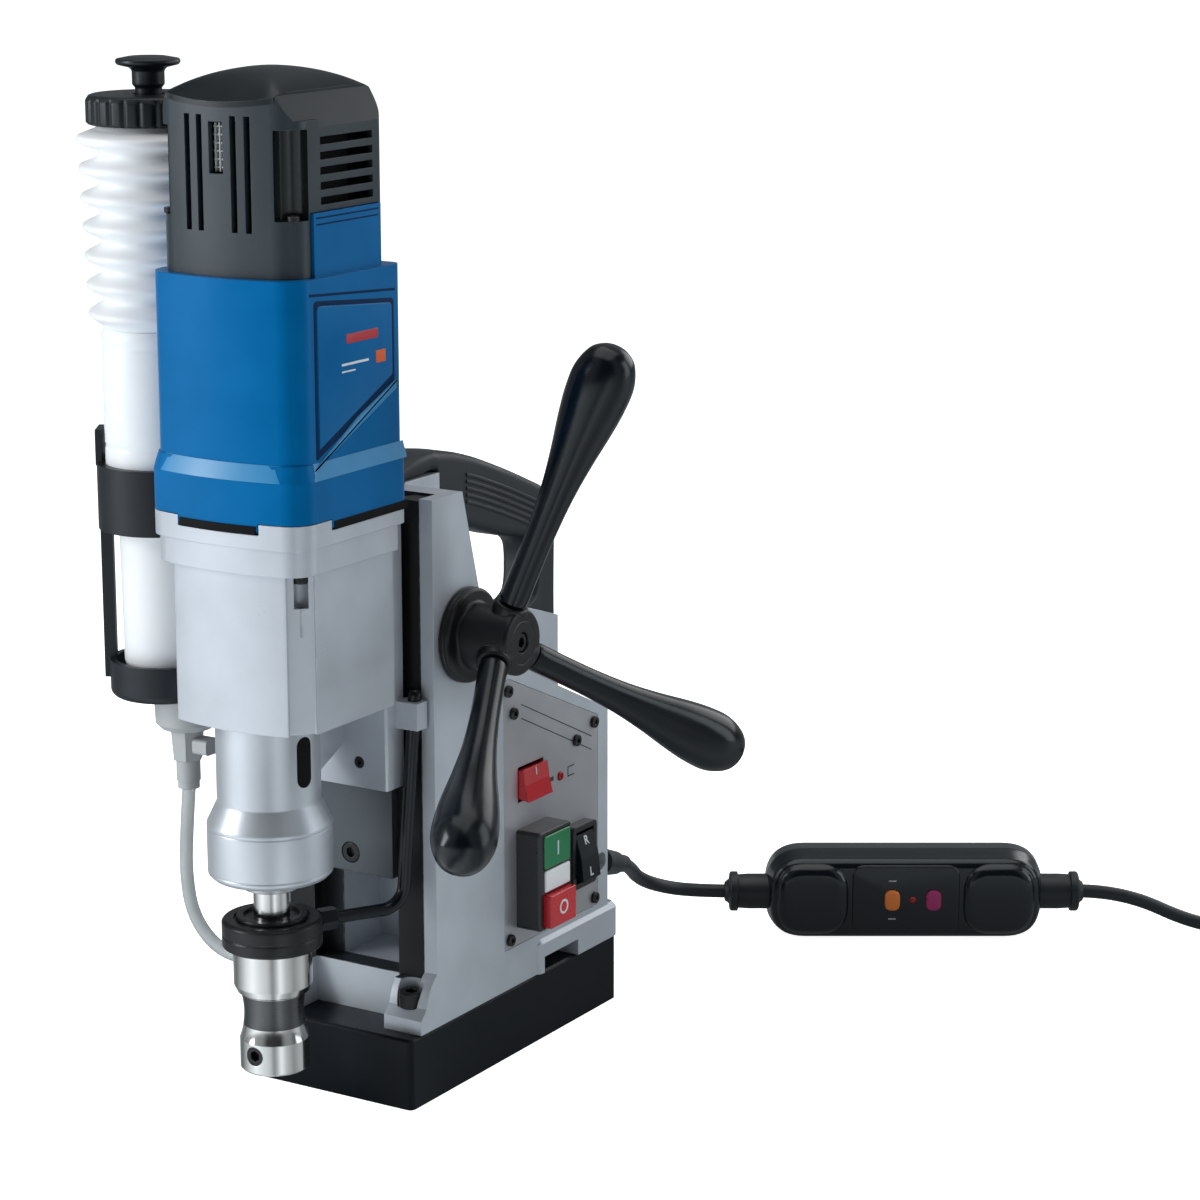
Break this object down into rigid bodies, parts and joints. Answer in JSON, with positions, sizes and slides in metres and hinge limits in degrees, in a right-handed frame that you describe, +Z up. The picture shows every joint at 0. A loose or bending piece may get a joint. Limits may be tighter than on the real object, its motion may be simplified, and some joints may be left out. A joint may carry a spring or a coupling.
{
  "type": "magnetic drill press",
  "caption": "Portable drill press on an electromagnetic base, with lever feed, coolant bellows, carry handle, switch panel and mains cord with in-line breaker.",
  "frame": {"origin": "centre of the magnet's underside, on the work surface", "axes": "+Z up along the spindle and the column, -Y towards the operator's spindle side, +X to the side with the feed levers and the switch panel"},
  "size_m": [0.4968, 0.77, 0.527],
  "materials": {
    "magnet_black": "satin black stoved paint",
    "coil_resin": "cast resin, slightly rough",
    "stand_silver": "silver-painted casting, fine orange peel",
    "gearbox_silver": "silver-painted casting, satin",
    "motor_blue": "satin blue moulding",
    "motor_grey": "charcoal moulding, fine texture",
    "machined_steel": "turned and ground",
    "gear_steel": "hardened, lightly oiled",
    "black_steel": "black oxide",
    "sleeve_steel": "turned bright, satin",
    "stator_iron": "laminated stack, varnished",
    "armature_copper": "laminations with copper winding",
    "bronze": "bored bush",
    "ribbed_black": "moulded grip, ribbed",
    "gloss_black": "polished black moulding",
    "satin_black": "satin black moulding",
    "switch_grey": "black switch moulding",
    "panel_silver": "brushed sheet",
    "button_green": "glossy",
    "button_red": "glossy",
    "button_orange": "glossy",
    "button_magenta": "glossy",
    "lamp_red": "clear red lens",
    "bottle_white": "translucent polyethylene",
    "hose_clear": "clear flexible tube",
    "fitting_grey": "moulded fitting",
    "board_green": "circuit board with parts",
    "cord_black": "rubber sheath"
  },
  "bodies": {
    "stand": {"magnet_body": "magnet_black", "magnet_coil": "coil_resin", "stand_frame": "stand_silver", "base_bolts": "black_steel", "gib_strips": "black_steel", "feed_bushes": "bronze", "control_panel": "panel_silver", "panel_screws": "black_steel", "switch_housing": "switch_grey", "direction_bezel": "switch_grey", "magnet_lamp": "lamp_red", "control_board": "board_green", "carry_handle": "ribbed_black", "cable_gland": "cord_black", "machine_lead": "cord_black", "inline_box_front": "satin_black", "inline_box_back": "satin_black", "inline_box_reliefs": "cord_black", "supply_lead": "cord_black", "cord_coil": "cord_black", "mains_plug": "satin_black"},
    "carriage": {"slide_plate": "machined_steel", "feed_rack": "gear_steel", "slide_bracket": "gearbox_silver", "carriage_screws": "black_steel", "gearbox_housing": "gearbox_silver", "gearbox_flange": "gearbox_silver", "spindle_sleeve": "sleeve_steel", "spindle_bearings": "gear_steel", "motor_housing": "motor_blue", "motor_cap": "motor_grey", "motor_stator": "stator_iron", "coolant_bottle": "bottle_white", "coolant_bellows": "bottle_white", "bottle_bracket": "satin_black", "outlet_cup": "fitting_grey", "outlet_fitting": "fitting_grey", "coolant_hose": "hose_clear", "coolant_ring": "black_steel", "ring_rod": "gloss_black"},
    "feed_shaft": {"pinion_shaft": "gear_steel", "feed_hub": "black_steel", "hub_screw": "machined_steel", "feed_lever_1": "gloss_black", "feed_lever_2": "gloss_black", "feed_lever_3": "gloss_black"},
    "spindle_set": {"spindle": "gear_steel", "spindle_gear": "gear_steel", "tool_holder": "machined_steel", "holder_screws": "black_steel"},
    "intermediate_set": {"intermediate_shaft": "gear_steel"},
    "armature_set": {"motor_armature": "armature_copper"},
    "bellows_head": {"bottle_cap": "satin_black"},
    "pump_knob": {"plunger_knob": "satin_black"},
    "start_key": {"start_button": "button_green"},
    "stop_key": {"stop_button": "button_red"},
    "magnet_key": {"magnet_rocker": "button_red"},
    "direction_key": {"direction_rocker": "satin_black"},
    "reset_key": {"reset_button": "button_orange"},
    "test_key": {"test_button": "button_magenta"}
  },
  "joints": [
    {"name": "carriage_feed", "type": "slide", "parent": "stand", "child": "carriage", "axis": [0, 0, 1], "range_m": [-0.025, 0.11]},
    {"name": "feed_turn", "type": "hinge", "parent": "stand", "child": "feed_shaft", "pos_m": [0, -0.048, 0.2386], "axis": [1, 0, 0], "range_deg": [-451, 103]},
    {"name": "spindle_turn", "type": "hinge", "parent": "carriage", "child": "spindle_set", "pos_m": [0, -0.1476, 0.15], "axis": [0, 0, 1], "continuous": true},
    {"name": "intermediate_turn", "type": "hinge", "parent": "carriage", "child": "intermediate_set", "pos_m": [0.0188, -0.11957, 0.26], "axis": [0, 0, 1], "continuous": true},
    {"name": "armature_turn", "type": "hinge", "parent": "carriage", "child": "armature_set", "pos_m": [0, -0.131, 0.37], "axis": [0, 0, 1], "continuous": true},
    {"name": "bellows_press", "type": "slide", "parent": "carriage", "child": "bellows_head", "axis": [0, 0, -1], "range_m": [0, 0.02], "stiffness_N_per_m": 300, "springref_m": -0.012, "deforming": ["coolant_bellows"]},
    {"name": "pump_press", "type": "slide", "parent": "bellows_head", "child": "pump_knob", "axis": [0, 0, -1], "range_m": [0, 0.008], "stiffness_N_per_m": 250, "springref_m": -0.008},
    {"name": "start_press", "type": "slide", "parent": "stand", "child": "start_key", "axis": [-1, 0, 0], "range_m": [0, 0.0025], "stiffness_N_per_m": 400, "springref_m": -0.004},
    {"name": "stop_press", "type": "slide", "parent": "stand", "child": "stop_key", "axis": [-1, 0, 0], "range_m": [0, 0.0025], "stiffness_N_per_m": 400, "springref_m": -0.004},
    {"name": "magnet_tip", "type": "hinge", "parent": "stand", "child": "magnet_key", "pos_m": [0.049, 0.013, 0.147], "axis": [0, -1, 0], "range_deg": [0, 16]},
    {"name": "direction_tip", "type": "hinge", "parent": "stand", "child": "direction_key", "pos_m": [0.053, 0.057, 0.095], "axis": [0, -1, 0], "range_deg": [0, 16]},
    {"name": "reset_press", "type": "slide", "parent": "stand", "child": "reset_key", "axis": [-0.521, 0.8536, 0], "range_m": [0, 0.0015], "stiffness_N_per_m": 400, "springref_m": -0.004},
    {"name": "test_press", "type": "slide", "parent": "stand", "child": "test_key", "axis": [-0.521, 0.8536, 0], "range_m": [0, 0.0015], "stiffness_N_per_m": 400, "springref_m": -0.004}
  ],
  "couplings": [
    {"joint": "feed_turn", "follows": "carriage_feed", "rad_per_m": -71.429},
    {"joint": "intermediate_turn", "follows": "spindle_turn", "ratio": -2.4615},
    {"joint": "armature_turn", "follows": "spindle_turn", "ratio": 8.3692}
  ]
}
